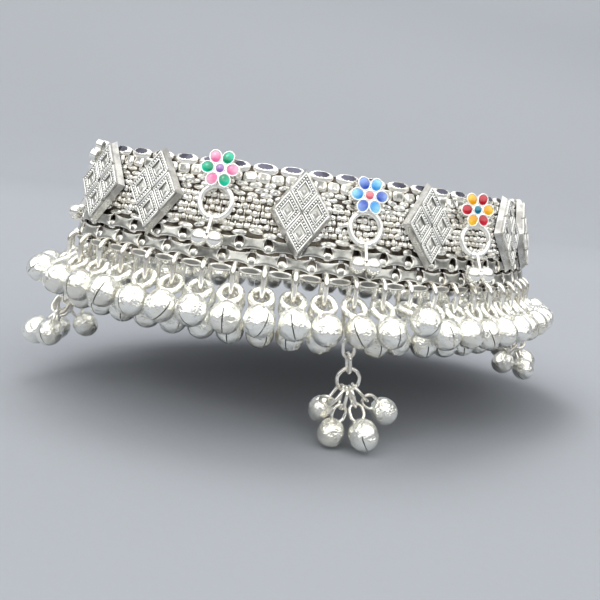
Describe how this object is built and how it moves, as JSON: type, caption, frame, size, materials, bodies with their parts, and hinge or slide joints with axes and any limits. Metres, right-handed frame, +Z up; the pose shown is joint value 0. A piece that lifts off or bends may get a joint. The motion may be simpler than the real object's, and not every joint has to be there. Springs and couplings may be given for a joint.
{
  "type": "payal anklet",
  "caption": "Wide woven silver anklet with diamond plates, enamelled flowers, jump rings with two rows of round bells, and bell tassels on short chains.",
  "frame": {"origin": "centre of the ankle opening, at half the height of the woven band", "axes": "+Z up, +X along the longer way across the opening, -Y towards the front flower"},
  "size_m": [0.1275, 0.0818, 0.0527],
  "materials": {
    "woven_silver": "bright silver weave, lightly darkened in the gaps",
    "plain_silver": "plain satin silver",
    "cast_silver": "bright cast silver with beaded channels",
    "flower_silver": "polished silver",
    "wire_silver": "bright silver wire",
    "bell_silver": "polished silver",
    "enamel_green": "glossy vitreous enamel",
    "enamel_navy": "glossy vitreous enamel",
    "enamel_pink": "glossy vitreous enamel",
    "enamel_red": "glossy vitreous enamel",
    "enamel_rose": "glossy vitreous enamel",
    "enamel_sky": "glossy vitreous enamel",
    "enamel_teal": "glossy vitreous enamel",
    "enamel_violet": "glossy vitreous enamel",
    "enamel_yellow": "glossy vitreous enamel"
  },
  "bodies": {
    "root": {"woven_band": "woven_silver", "clasp": "plain_silver", "diamond_plate_1": "cast_silver", "diamond_plate_2": "cast_silver", "diamond_plate_3": "cast_silver", "diamond_plate_4": "cast_silver", "diamond_plate_5": "cast_silver", "diamond_plate_6": "cast_silver", "diamond_plate_7": "cast_silver", "diamond_plate_8": "cast_silver", "diamond_plate_9": "cast_silver", "diamond_plate_10": "cast_silver", "flower_1": "flower_silver", "flower_2": "flower_silver", "flower_3": "flower_silver", "flower_4": "flower_silver", "flower_5": "flower_silver", "flower_6": "flower_silver", "flower_7": "flower_silver", "enamel_green": "enamel_green", "enamel_navy": "enamel_navy", "enamel_pink": "enamel_pink", "enamel_red": "enamel_red", "enamel_rose": "enamel_rose", "enamel_sky": "enamel_sky", "enamel_teal": "enamel_teal", "enamel_violet": "enamel_violet", "enamel_yellow": "enamel_yellow", "jump_rings": "wire_silver", "outer_bells": "bell_silver", "inner_bells": "bell_silver", "tassel_1": "bell_silver", "tassel_2": "bell_silver", "tassel_3": "bell_silver"}
  },
  "joints": []
}
